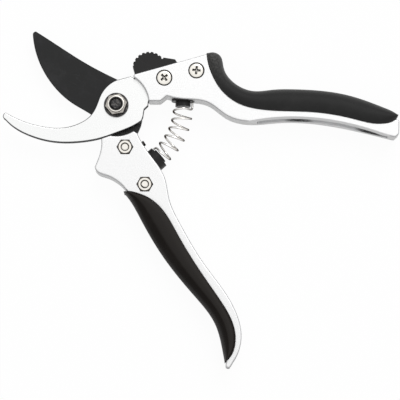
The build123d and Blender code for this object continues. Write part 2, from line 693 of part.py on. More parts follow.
with BuildPart() as pivot_nut:
    with BuildSketch(Plane.XY.offset(nut_bottom)):
        RegularPolygon(PIVOT_NUT_FLATS / 2, 6, major_radius=False, rotation=PIVOT_NUT_TURN)
    extrude(amount=PIVOT_NUT_HEIGHT - COLLAR_HEIGHT)
    with BuildSketch(Plane(origin=(0, 0, nut_bottom), z_dir=(0, -1, 0), x_dir=(1, 0, 0))):
        make_face(hex_envelope(PIVOT_NUT_FLATS, PIVOT_NUT_HEIGHT - COLLAR_HEIGHT))
    revolve(axis=Axis.Z, mode=Mode.INTERSECT)
    with BuildSketch(Plane.XY.offset(nut_top - COLLAR_HEIGHT)):
        Circle(COLLAR_DIAMETER / 2)
    extrude(amount=COLLAR_HEIGHT)
    fillet(pivot_nut.edges().group_by(Axis.Z)[-1], radius=COLLAR_ROUND)
    with BuildSketch(Plane.XY.offset(nut_bottom)):
        Circle(PIVOT_THREAD / 2)
    extrude(amount=PIVOT_NUT_HEIGHT, mode=Mode.SUBTRACT)
    with BuildSketch(Plane.XY.offset(nut_top)):
        Circle(INSERT_DIAMETER / 2)
    extrude(amount=-INSERT_HEIGHT, mode=Mode.SUBTRACT)
keep(pivot_nut, "pivot_nut")

with BuildPart() as pivot_nut_insert:
    with BuildSketch(Plane.XY.offset(nut_top - INSERT_HEIGHT)):
        Circle(INSERT_DIAMETER / 2)
        Circle(PIVOT_THREAD / 2, mode=Mode.SUBTRACT)
    extrude(amount=INSERT_HEIGHT - INSERT_RECESS)
keep(pivot_nut_insert, "pivot_nut_insert")

# Lock
with BuildPart() as lock_plate:
    with BuildSketch(Plane.XY.offset(lock_bottom)):
        with BuildLine():
            Polyline(*spine_box(LOCK_FRONT, LOCK_REAR, LOCK_LOW, lock_high), close=True)
        make_face()
        with BuildLine():
            Polyline(
                *spine_box(STEM_FRONT, STEM_REAR, LOCK_LOW, SPINE_OFFSET + STEM_RISE), close=True
            )
        make_face()
        with Locations(on_spine((STEM_FRONT + STEM_REAR) / 2, SPINE_OFFSET + STEM_RISE / 2)):
            Circle(LOCK_PIN_DIAMETER / 2, mode=Mode.SUBTRACT)
    extrude(amount=LOCK_PLATE_THICKNESS)
keep(lock_plate, "lock_plate")

dome_out = button_foot + DOME_RISE
front_rise = math.sqrt(DOME_RADIUS**2 - (DOME_CENTRE - BUTTON_FRONT) ** 2)
tail_reach = math.sqrt(DOME_RADIUS**2 - (TAIL_HEIGHT - DOME_RISE) ** 2)
pin_place = on_spine((STEM_FRONT + STEM_REAR) / 2, SPINE_OFFSET + STEM_RISE / 2)
with BuildPart() as lock_button:
    with BuildSketch(Plane.XY.offset(middle - BUTTON_WIDTH / 2)):
        with BuildLine():
            Polyline(
                on_spine(DOME_CENTRE + tail_reach, button_foot + TAIL_HEIGHT),
                on_spine(BUTTON_REAR - TAIL_END_LEAN, button_foot + TAIL_END_HEIGHT),
                on_spine(BUTTON_REAR, button_foot),
                on_spine(BUTTON_FRONT, button_foot),
                on_spine(BUTTON_FRONT, dome_out + front_rise),
            )
            ThreePointArc(
                on_spine(BUTTON_FRONT, dome_out + front_rise),
                on_spine(DOME_CENTRE, dome_out + DOME_RADIUS),
                on_spine(DOME_CENTRE + tail_reach, button_foot + TAIL_HEIGHT),
            )
        make_face()
        for tooth in range(TOOTH_COUNT):
            lean = math.radians(TOOTH_FIRST + tooth * TOOTH_STEP)
            groove_along = DOME_CENTRE + DOME_RADIUS * math.cos(lean)
            groove_out = dome_out + DOME_RADIUS * math.sin(lean)
            with Locations(on_spine(groove_along, groove_out)):
                Circle(TOOTH_RADIUS, mode=Mode.SUBTRACT)
    extrude(amount=BUTTON_WIDTH)
    with BuildSketch(Plane.XY.offset(lock_bottom)):
        with BuildLine():
            Polyline(
                *spine_box(STEM_FRONT, STEM_REAR, SPINE_OFFSET, SPINE_OFFSET + STEM_RISE), close=True
            )
        make_face()
    extrude(amount=LOCK_PLATE_THICKNESS, mode=Mode.SUBTRACT)
    with BuildSketch(Plane.XY.offset(middle - LOCK_PIN_LENGTH / 2)):
        with Locations(pin_place):
            Circle(LOCK_PIN_DIAMETER / 2)
    extrude(amount=LOCK_PIN_LENGTH, mode=Mode.SUBTRACT)
keep(lock_button, "lock_button")

with BuildPart() as lock_pin:
    with BuildSketch(Plane.XY.offset(middle - LOCK_PIN_LENGTH / 2)):
        with Locations(pin_place):
            Circle(LOCK_PIN_DIAMETER / 2)
    extrude(amount=LOCK_PIN_LENGTH)
keep(lock_pin, "lock_pin")

leaf_foot = LOCK_LOW - LEAF_GAP - LEAF_RISE
leaf_middle = (LOCK_FRONT + LOCK_REAR) / 2 + LEAF_SHIFT
leaf_front = on_spine(leaf_middle - LEAF_HALF_LENGTH, leaf_foot)
leaf_rear = on_spine(leaf_middle + LEAF_HALF_LENGTH, leaf_foot)
foot_front = on_spine(leaf_middle - LEAF_HALF_LENGTH + LEAF_FOOT, leaf_foot)
foot_rear = on_spine(leaf_middle + LEAF_HALF_LENGTH - LEAF_FOOT, leaf_foot)
leaf_crest = on_spine(leaf_middle, leaf_foot + LEAF_RISE)
leaf_hollow = on_spine(leaf_middle, leaf_foot + LEAF_RISE - LEAF_THICKNESS)
with BuildPart() as lock_leaf_spring:
    with BuildSketch(Plane.XY.offset(lock_bottom)):
        with BuildLine():
            ThreePointArc(leaf_front, leaf_crest, leaf_rear)
            Line(leaf_rear, foot_rear)
            ThreePointArc(foot_rear, leaf_hollow, foot_front)
            Line(foot_front, leaf_front)
        make_face()
    extrude(amount=LOCK_PLATE_THICKNESS)
keep(lock_leaf_spring, "lock_leaf_spring")


# Return spring: a coil whose axis is bent round the pivot, with a straight leg at each end
def coil_angle(share):
    """Angle about the pivot at a share of the coil's length."""
    return COIL_START_ANGLE + share * (COIL_END_ANGLE - COIL_START_ANGLE)


def coil_point(share):
    """Point of the wire's centre line at a share of the coil."""
    wind = share * QUARTER_TURNS * math.pi / 2
    x, y = on_ring(SPRING_ORBIT + COIL_RADIUS * math.cos(wind), coil_angle(share))
    return Vector(x, y, middle + COIL_RADIUS * math.sin(wind))


def coil_heading(share):
    """Direction of the wire at a share of the coil; square to the seats at both ends."""
    if share in (0, 1):
        x, y = on_ring(1.0, coil_angle(share) - 90)
        return Vector(x, y, 0)
    step = 1e-4
    return (coil_point(share + step) - coil_point(share - step)).normalized()


def biarc(start, start_heading, end, end_heading):
    """Joint and its heading between two arcs that meet smoothly."""
    span = end - start
    both = start_heading + end_heading
    bend = 2 * (1 - start_heading.dot(end_heading))
    lean = span.dot(both)
    reach = (math.sqrt(lean**2 + bend * span.dot(span)) - lean) / bend
    first = start + start_heading * reach
    second = end - end_heading * reach
    return (first + second) * 0.5, (second - first).normalized()


def tightness(start, heading, end):
    """Radius of the arc that leaves a start along a heading and ends at a point."""
    chord = end - start
    aside = chord - heading * chord.dot(heading)
    return chord.dot(chord) / (2 * aside.length)


def leg_length(plane, peg_length, start, heading):
    """Way from a point of the wire along a heading to the face of a seat's flange."""
    into = Vector(*plane.y_dir)
    face = Vector(*plane.origin) + into * peg_length
    return (face - start).dot(into) / heading.dot(into)


def coil_gap(points):
    """Least gap between turns, between points more than half a turn apart along the wire."""
    near = int(len(points) / QUARTER_TURNS * 2)
    least = min(
        (points[i] - points[j]).length
        for i in range(len(points))
        for j in range(i + near, len(points))
    )
    return least - WIRE_DIAMETER


shares = [quarter / QUARTER_TURNS for quarter in range(QUARTER_TURNS + 1)]
knots = [coil_point(share) for share in shares]
headings = [coil_heading(share) for share in shares]
upper_leg = leg_length(upper_seat_plane, upper_peg_length, knots[0], -headings[0])
lower_leg = leg_length(lower_seat_plane, lower_peg_length, knots[-1], headings[-1]) - SPRING_END_GAP
upper_leg_end = knots[0] - headings[0] * upper_leg
lower_leg_end = knots[-1] + headings[-1] * lower_leg
with BuildPart() as return_spring:
    with BuildLine() as wire_path:
        Line(upper_leg_end, knots[0])
        bends = []
        for quarter in range(QUARTER_TURNS):
            joint, joint_heading = biarc(
                knots[quarter], headings[quarter], knots[quarter + 1], headings[quarter + 1]
            )
            TangentArc(knots[quarter], joint, tangent=headings[quarter])
            TangentArc(joint, knots[quarter + 1], tangent=joint_heading)
            bends.append(tightness(knots[quarter], headings[quarter], joint))
            bends.append(tightness(joint, joint_heading, knots[quarter + 1]))
        Line(knots[-1], lower_leg_end)
    with BuildSketch(Plane(origin=upper_leg_end, z_dir=headings[0])):
        Circle(WIRE_DIAMETER / 2)
    sweep(path=wire_path.wire())
keep(return_spring, "return_spring")
samples = [coil_point(i / 600) for i in range(601)]
print("spring: least gap between turns", round(coil_gap(samples), 2), "mm")
print("spring: tightest bend", round(min(bends), 2), "mm")
print("spring: legs", round(upper_leg, 2), round(lower_leg, 2), "mm")
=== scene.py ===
"""Looks of a pair of pruning shears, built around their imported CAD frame. Units are metres."""

import logging
import math
from dataclasses import dataclass, field
from enum import Enum

import bpy
import numpy as np
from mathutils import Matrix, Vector


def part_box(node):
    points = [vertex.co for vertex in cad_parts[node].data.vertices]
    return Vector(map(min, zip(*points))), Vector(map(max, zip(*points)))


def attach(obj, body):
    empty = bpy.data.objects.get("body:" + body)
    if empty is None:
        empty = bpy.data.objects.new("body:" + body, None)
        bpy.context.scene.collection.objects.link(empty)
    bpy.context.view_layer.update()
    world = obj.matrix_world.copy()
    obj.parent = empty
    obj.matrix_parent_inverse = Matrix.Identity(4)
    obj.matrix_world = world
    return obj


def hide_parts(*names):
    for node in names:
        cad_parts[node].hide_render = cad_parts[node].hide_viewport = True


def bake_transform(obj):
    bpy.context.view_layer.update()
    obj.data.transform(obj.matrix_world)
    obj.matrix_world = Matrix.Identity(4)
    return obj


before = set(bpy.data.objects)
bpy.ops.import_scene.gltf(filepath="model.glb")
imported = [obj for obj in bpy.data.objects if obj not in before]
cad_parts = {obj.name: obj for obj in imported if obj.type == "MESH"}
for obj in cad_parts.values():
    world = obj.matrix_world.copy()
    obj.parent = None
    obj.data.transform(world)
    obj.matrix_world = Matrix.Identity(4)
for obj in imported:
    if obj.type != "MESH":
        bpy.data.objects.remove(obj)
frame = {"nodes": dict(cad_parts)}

log = logging.getLogger("pruning_shears")

MM = 0.001
# Colour of the painted shade that darkens narrow gaps and the places where parts meet.
CREVICE_SHADE_COLOUR = (0.035, 0.030, 0.026)
WHITE = (1.0, 1.0, 1.0)
CURVE_READINGS = 8
Points = list[tuple[float, float]]
Colour = tuple[float, float, float]


class Body(Enum):
    """Rigid groups of the frame."""

    HOOK_SIDE = "hook_side"
    BLADE_SIDE = "blade_side"
    LOCK = "lock"


class Slot(Enum):
    """Material slots of the record."""

    RUBBER = "black_rubber"
    STEEL = "steel"


class Look(Enum):
    """Finishes that pieces are shown in."""

    ALLOY = "Blasted alloy"
    PLATE = "Satin plate"
    COATING = "Black coating"
    RUBBER = "Grip rubber"
    WARM_RUBBER = "Warm grip rubber"
    PLASTIC = "Moulded plastic"
    SCREW = "Nickel screw"
    NUT = "Nickel nut"
    LOCKNUT = "Nickel locknut"
    OXIDE = "Black oxide"
    STEEL = "Bare steel"
    WIRE = "Spring wire"


class Graph:
    """Small helper that adds nodes to one node tree and joins them."""

    def __init__(self, tree: bpy.types.NodeTree) -> None:
        """Keep the node tree of a material, a group or the world."""
        self.tree = tree

    def add(self, kind: str, **settings: object) -> bpy.types.Node:
        """Add a node.

        Args:
            kind: Blender's name of the node type.
            **settings: Properties of the node.

        Returns:
            The new node.
        """
        node = self.tree.nodes.new(kind)
        for name, value in settings.items():
            setattr(node, name, value)
        return node

    def join(self, source: bpy.types.NodeSocket, target: bpy.types.NodeSocket) -> None:
        """Link an output to an input."""
        self.tree.links.new(source, target)

    def feed(self, node: bpy.types.Node, **inputs: object) -> bpy.types.Node:
        """Set inputs of a node by name: a socket is linked, a plain value is stored.

        Args:
            node: Node to feed.
            **inputs: Input names with underscores for blanks, and their sources or values.

        Returns:
            The same node.
        """
        for name, value in inputs.items():
            socket = node.inputs[name.replace("_", " ")]
            if isinstance(value, bpy.types.NodeSocket):
                self.join(value, socket)
            else:
                socket.default_value = value
        return node

    def math(self, operation: str, first: object, second: object = 0.0) -> bpy.types.NodeSocket:
        """Add a maths node.

        Args:
            operation: Blender's name of the operation.
            first: Socket or number.
            second: Socket or number.

        Returns:
            The node's output.
        """
        node = self.add("ShaderNodeMath", operation=operation)
        for place, value in enumerate((first, second)):
            if isinstance(value, bpy.types.NodeSocket):
                self.join(value, node.inputs[place])
            else:
                node.inputs[place].default_value = value
        return node.outputs[0]

    def ramp(
        self, value: object, low: float, high: float, start: float, end: float
    ) -> bpy.types.NodeSocket:
        """Map a value smoothly from one range to another.

        Args:
            value: Socket to map.
            low: Start of the source range.
            high: End of the source range.
            start: Result at the source range's start.
            end: Result at the source range's end.

        Returns:
            The mapped value.
        """
        node = self.add("ShaderNodeMapRange", interpolation_type="SMOOTHSTEP")
        self.feed(node, Value=value, From_Min=low, From_Max=high, To_Min=start, To_Max=end)
        return node.outputs["Result"]

    def mix(self, share: bpy.types.NodeSocket, first: object, second: object) -> bpy.types.NodeSocket:
        """Add a colour mix.

        Args:
            share: Share of the second colour.
            first: Socket or colour.
            second: Socket or colour.

        Returns:
            The mixed colour.
        """
        node = self.add("ShaderNodeMix", data_type="RGBA")
        self.join(share, node.inputs[0])
        for place, value in ((6, first), (7, second)):
            if isinstance(value, bpy.types.NodeSocket):
                self.join(value, node.inputs[place])
            else:
                node.inputs[place].default_value = (*value, 1.0)
        return node.outputs[2]

    def level(self) -> bpy.types.NodeSocket:
        """How level the surface lies.

        Returns:
            The size of the upright part of the object's own normal: 1 on flat faces, 0 on walls.
        """
        parts = self.add("ShaderNodeSeparateXYZ")
        self.join(self.add("ShaderNodeTexCoord").outputs["Normal"], parts.inputs[0])
        return self.math("ABSOLUTE", parts.outputs["Z"])

    def seen_ray(self) -> bpy.types.NodeSocket:
        """Tell the rays that show the background, straight or in a reflection, from those that light.

        Returns:
            1 for camera, glossy and transmission rays, and 0 for the rest.
        """
        path = self.add("ShaderNodeLightPath")
        straight = self.math("MAXIMUM", path.outputs["Is Camera Ray"], path.outputs["Is Glossy Ray"])
        return self.math("MAXIMUM", straight, path.outputs["Is Transmission Ray"])


class SharedEffects:
    """Node groups that every finish uses; each is made once."""

    grain_span: tuple[float, float] = (0.3, 0.7)
    hair_width: float = 0.012
    patch_scale: float = 0.6
    patch_span: tuple[float, float] = (0.5, 0.66)
    film_span: tuple[float, float] = (0.45, 0.75)
    shut_span: tuple[float, float] = (0.25, 0.7)
    crumb_scale: float = 700.0
    crumb_span: tuple[float, float] = (0.25, 0.55)
    crumb_least: float = 0.55

    def __init__(self) -> None:
        """Make the groups."""
        self.grain = self._grain()
        self.scuffs = self._scuffs()
        self.dust = self._dust()
        self.crevice = self._crevice()

    @staticmethod
    def _new(name: str, inputs: dict[str, float], outputs: list[str]) -> tuple[Graph, dict, bpy.types.Node]:
        """Start a group that takes a vector and numbers and puts out numbers.

        Args:
            name: Name of the group.
            inputs: Number inputs and their default values.
            outputs: Number outputs.

        Returns:
            The graph, the group's input sockets by name, and its output node.
        """
        tree = bpy.data.node_groups.new(name, "ShaderNodeTree")
        tree.interface.new_socket("Vector", in_out="INPUT", socket_type="NodeSocketVector")
        for label, value in inputs.items():
            socket = tree.interface.new_socket(label, in_out="INPUT", socket_type="NodeSocketFloat")
            socket.default_value = value
        for label in outputs:
            tree.interface.new_socket(label, in_out="OUTPUT", socket_type="NodeSocketFloat")
        graph = Graph(tree)
        entry = graph.add("NodeGroupInput")
        sockets = {socket.name: socket for socket in entry.outputs}
        return graph, sockets, graph.add("NodeGroupOutput")

    def _grain(self) -> bpy.types.NodeTree:
        """Fine mottling: noise mapped between two values, and the raw noise as a height.

        Returns:
            The group.
        """
        inputs = {"Scale": 800.0, "Low": 0.3, "High": 0.5}
        graph, source, output = self._new("Fine grain", inputs, ["Value", "Height"])
        noise = graph.add("ShaderNodeTexNoise")
        graph.feed(noise, Vector=source["Vector"], Scale=source["Scale"], Detail=5.0, Roughness=0.6)
        mapped = graph.add("ShaderNodeMapRange")
        low, high = self.grain_span
        graph.feed(mapped, Value=noise.outputs["Fac"], From_Min=low, From_Max=high)
        graph.feed(mapped, To_Min=source["Low"], To_Max=source["High"])
        graph.join(mapped.outputs["Result"], output.inputs["Value"])
        graph.join(noise.outputs["Fac"], output.inputs["Height"])
        return graph.tree

    def _scuffs(self) -> bpy.types.NodeTree:
        """Sparse hairline scratches: narrow bands where a warped noise crosses its middle, in patches.

        Returns:
            The group.
        """
        graph, source, output = self._new("Scuffs", {"Scale": 60.0, "Amount": 0.4}, ["Mask"])
        lines = graph.add("ShaderNodeTexNoise")
        graph.feed(lines, Vector=source["Vector"], Scale=source["Scale"], Detail=2.0, Distortion=1.5)
        away = graph.math("ABSOLUTE", graph.math("SUBTRACT", lines.outputs["Fac"], 0.5))
        hair = graph.ramp(away, 0.0, self.hair_width, 1.0, 0.0)
        patches = graph.add("ShaderNodeTexNoise")
        broad = graph.math("MULTIPLY", source["Scale"], self.patch_scale)
        graph.feed(patches, Vector=source["Vector"], Scale=broad, Detail=3.0)
        patch = graph.ramp(patches.outputs["Fac"], *self.patch_span, 0.0, 1.0)
        mask = graph.math("MULTIPLY", graph.math("MULTIPLY", hair, patch), source["Amount"])
        graph.join(mask, output.inputs["Mask"])
        return graph.tree

    def _dust(self) -> bpy.types.NodeTree:
        """Thin uneven film: broad noise that only lets a little through.

        Returns:
            The group.
        """
        graph, source, output = self._new("Dust", {"Scale": 90.0, "Amount": 0.1}, ["Mask"])
        cloud = graph.add("ShaderNodeTexNoise")
        graph.feed(cloud, Vector=source["Vector"], Scale=source["Scale"], Detail=8.0, Roughness=0.7)
        film = graph.ramp(cloud.outputs["Fac"], *self.film_span, 0.0, 1.0)
        graph.join(graph.math("MULTIPLY", film, source["Amount"]), output.inputs["Mask"])
        return graph.tree

    def _crevice(self) -> bpy.types.NodeTree:
        """Painted shade in narrow gaps: the share of near surroundings that is shut off, broken up by
        noise.

        Returns:
            The group.
        """
        inputs = {"Distance": 0.0012, "Amount": 0.8}
        graph, source, output = self._new("Crevice shade", inputs, ["Mask"])
        shut = graph.add("ShaderNodeAmbientOcclusion", samples=8)
        graph.feed(shut, Distance=source["Distance"])
        depth = graph.ramp(shut.outputs["AO"], *self.shut_span, 1.0, 0.0)
        cloud = graph.add("ShaderNodeTexNoise")
        graph.feed(cloud, Vector=source["Vector"], Scale=self.crumb_scale, Detail=3.0)
        broken = graph.ramp(cloud.outputs["Fac"], *self.crumb_span, self.crumb_least, 1.0)
        mask = graph.math("MULTIPLY", graph.math("MULTIPLY", depth, broken), source["Amount"])
        graph.join(mask, output.inputs["Mask"])
        return graph.tree


@dataclass(frozen=True)
class Finish:
    """One procedural surface finish.

    The base colour is mixed towards a side colour where the surface turns away from the flat faces; in most
    finishes this is painted shade on edges, walls and chamfers, on the grip rubber it is painted light, and
    on the black coating it is the ground bevel's own colour. It is also mixed towards a worn colour by
    scuffs and dust, and towards a dark colour in narrow gaps, which is painted shade. The roughness is
    mottled between two values, and fine grain raises the surface.
    """

    colour: Colour
    worn: Colour
    metallic: float
    rough_low: float
    rough_high: float
    grain_scale: float
    grain_height: float
    mottle: float = 0.0
    scuffs: float = 0.3
    dust: float = 0.05
    specular: float = 0.5
    edge_tint: float = 1.0
    # Amount and reach of the painted shade in narrow gaps.
    crevice_shade: float = 0.0
    crevice_shade_reach: float = 1.2 * MM
    # Side colour: painted shade on turned edges and walls in most finishes, painted light on the grip
    # rubber, and the ground bevel's own colour on the coating.
    side: Colour | None = None
    side_full: float = 0.55
    side_none: float = 0.97
    side_wall: float = 0.0
    side_blur: float = 0.05
    speckle_low: float = 0.42
    speckle_high: float = 0.62

    def build(self, name: str, effects: SharedEffects) -> bpy.types.Material:
        """Make the material.

        Args:
            name: Name of the material.
            effects: Shared node groups.

        Returns:
            The material.
        """
        material = bpy.data.materials.new(name)
        material.use_nodes = True
        material.node_tree.nodes.clear()
        graph = Graph(material.node_tree)
        place = graph.add("ShaderNodeTexCoord").outputs["Object"]
        grain = graph.add("ShaderNodeGroup", node_tree=effects.grain)
        graph.feed(grain, Vector=place, Scale=self.grain_scale, Low=self.rough_low, High=self.rough_high)
        scuffs = graph.add("ShaderNodeGroup", node_tree=effects.scuffs)
        graph.feed(scuffs, Vector=place, Amount=self.scuffs)
        dust = graph.add("ShaderNodeGroup", node_tree=effects.dust)
        graph.feed(dust, Vector=place, Amount=self.dust)
        crevice = graph.add("ShaderNodeGroup", node_tree=effects.crevice)
        graph.feed(crevice, Vector=place, Amount=self.crevice_shade, Distance=self.crevice_shade_reach)
        height = grain.outputs["Height"]
        speckle = graph.ramp(height, self.speckle_low, self.speckle_high, 0.0, self.mottle)
        marks = graph.math("MAXIMUM", scuffs.outputs["Mask"], dust.outputs["Mask"])
        worn = graph.mix(graph.math("MAXIMUM", marks, speckle), self._clean(graph, place), self.worn)
        # Painted shade: the colour darkens in narrow gaps and where parts meet, by the ambient occlusion
        # mask.
        colour = graph.mix(crevice.outputs["Mask"], worn, CREVICE_SHADE_COLOUR)
        bump = graph.add("ShaderNodeBump")
        graph.feed(bump, Strength=1.0, Distance=self.grain_height, Height=height)
        shader = graph.add("ShaderNodeBsdfPrincipled")
        graph.feed(
            shader,
            Base_Color=colour,
            Roughness=grain.outputs["Value"],
            Metallic=self.metallic,
            Specular_IOR_Level=self.specular,
            Specular_Tint=(self.edge_tint, self.edge_tint, self.edge_tint, 1.0),
            Normal=bump.outputs["Normal"],
        )
        output = graph.add("ShaderNodeOutputMaterial")
        graph.join(shader.outputs["BSDF"], output.inputs["Surface"])
        return material

    def _clean(self, graph: Graph, place: bpy.types.NodeSocket) -> object:
        """Colour of the unworn surface: the flat faces' colour, and the side colour where it is turned,
        which is painted shade on most finishes and painted light on the grip rubber.

        Args:
            graph: Graph of the material.
            place: Object coordinates.

        Returns:
            A colour, or the socket of one.
        """
        if self.side is None:
            return self.colour
        return graph.mix(self._turned(graph), self.colour, self.side)

    def _turned(self, graph: Graph) -> bpy.types.NodeSocket:
        """Mask of the sides: how level the surface lies, mapped from flat to turned.

        With a wall limit the mask ends there, so that it holds bevels and rounded edges alone.

        Args:
            graph: Graph of the material.

        Returns:
            0 on level faces and 1 on turned ones.
        """
        level = graph.level()
        turned = graph.ramp(level, self.side_full, self.side_none, 1.0, 0.0)
        if self.side_wall == 0.0:
            return turned
        wall = (self.side_wall - self.side_blur, self.side_wall + self.side_blur)
        return graph.math("MULTIPLY", turned, graph.ramp(level, *wall, 0.0, 1.0))


@dataclass(frozen=True)
class GroovedFinish(Finish):
    """A cast surface whose lengthwise grooves get painted shade inside."""

    # Painted shade inside the grooves, from pale to dark along them.
    groove_dark: Colour = (0.055, 0.055, 0.058)
    groove_pale: Colour = (0.78, 0.78, 0.79)
    groove_level: float = 8.5 * MM
    groove_half: float = 2.4 * MM
    groove_wave: float = 37.0 * MM
    groove_start: float = 87.8 * MM
    groove_swing: tuple[float, float] = (0.1, 1.0)
    lip_level: float = 0.5

    def _clean(self, graph: Graph, place: bpy.types.NodeSocket) -> object:
        """Colour of the unworn surface, and painted shade on the grooves' lips: level faces at the grooves'
        height.

        The painted shade in the grooves comes and goes along them as a sine of the lengthwise place.

        Args:
            graph: Graph of the material.
            place: Object coordinates.

        Returns:
            The socket of the colour.
        """
        parts = graph.add("ShaderNodeSeparateXYZ")
        graph.join(place, parts.inputs[0])
        away = graph.math("ABSOLUTE", graph.math("SUBTRACT", parts.outputs["Z"], self.groove_level))
        near = graph.math("LESS_THAN", away, self.groove_half)
        lip = graph.math("MULTIPLY", near, graph.math("GREATER_THAN", graph.level(), self.lip_level))
        along = graph.math("SUBTRACT", parts.outputs["X"], self.groove_start)
        swing = graph.math("SINE", graph.math("MULTIPLY", along, 2 * math.pi / self.groove_wave))
        # Painted shade in the grooves, swinging between pale and dark along them.
        groove_shade = graph.ramp(swing, *self.groove_swing, 0.0, 1.0)
        inside = graph.mix(groove_shade, self.groove_pale, self.groove_dark)
        return graph.mix(lip, super()._clean(graph, place), inside)


@dataclass(frozen=True)
class LitEndFinish(Finish):
    """A soft surface with painted light: paler towards the end that lies furthest along Y."""

    # Painted light: the pale colour towards the end furthest along Y.
    lit_end: Colour = (0.088, 0.087, 0.084)
    lit_end_start: float = 6.0 * MM
    lit_end_stop: float = 29.0 * MM
    lit_end_scale: float = 1100.0
    lit_end_span: tuple[float, float] = (0.35, 0.65)
    lit_end_least: float = 0.25

    def _clean(self, graph: Graph, place: bpy.types.NodeSocket) -> object:
        """Colour of the unworn surface, and of its grains that take painted light.

        A noise chooses the grains, and more of them turn pale the nearer they lie to the end; this paleness
        is painted light.

        Args:
            graph: Graph of the material.
            place: Object coordinates.

        Returns:
            The socket of the colour.
        """
        parts = graph.add("ShaderNodeSeparateXYZ")
        graph.join(place, parts.inputs[0])
        near = graph.ramp(parts.outputs["Y"], self.lit_end_start, self.lit_end_stop, 0.0, 1.0)
        cloud = graph.add("ShaderNodeTexNoise")
        graph.feed(cloud, Vector=place, Scale=self.lit_end_scale, Detail=3.0)
        grains = graph.ramp(cloud.outputs["Fac"], *self.lit_end_span, self.lit_end_least, 1.0)
        share = graph.math("MULTIPLY", near, grains)
        # Painted light towards the end furthest along Y, broken into grains.
        return graph.mix(share, super()._clean(graph, place), self.lit_end)


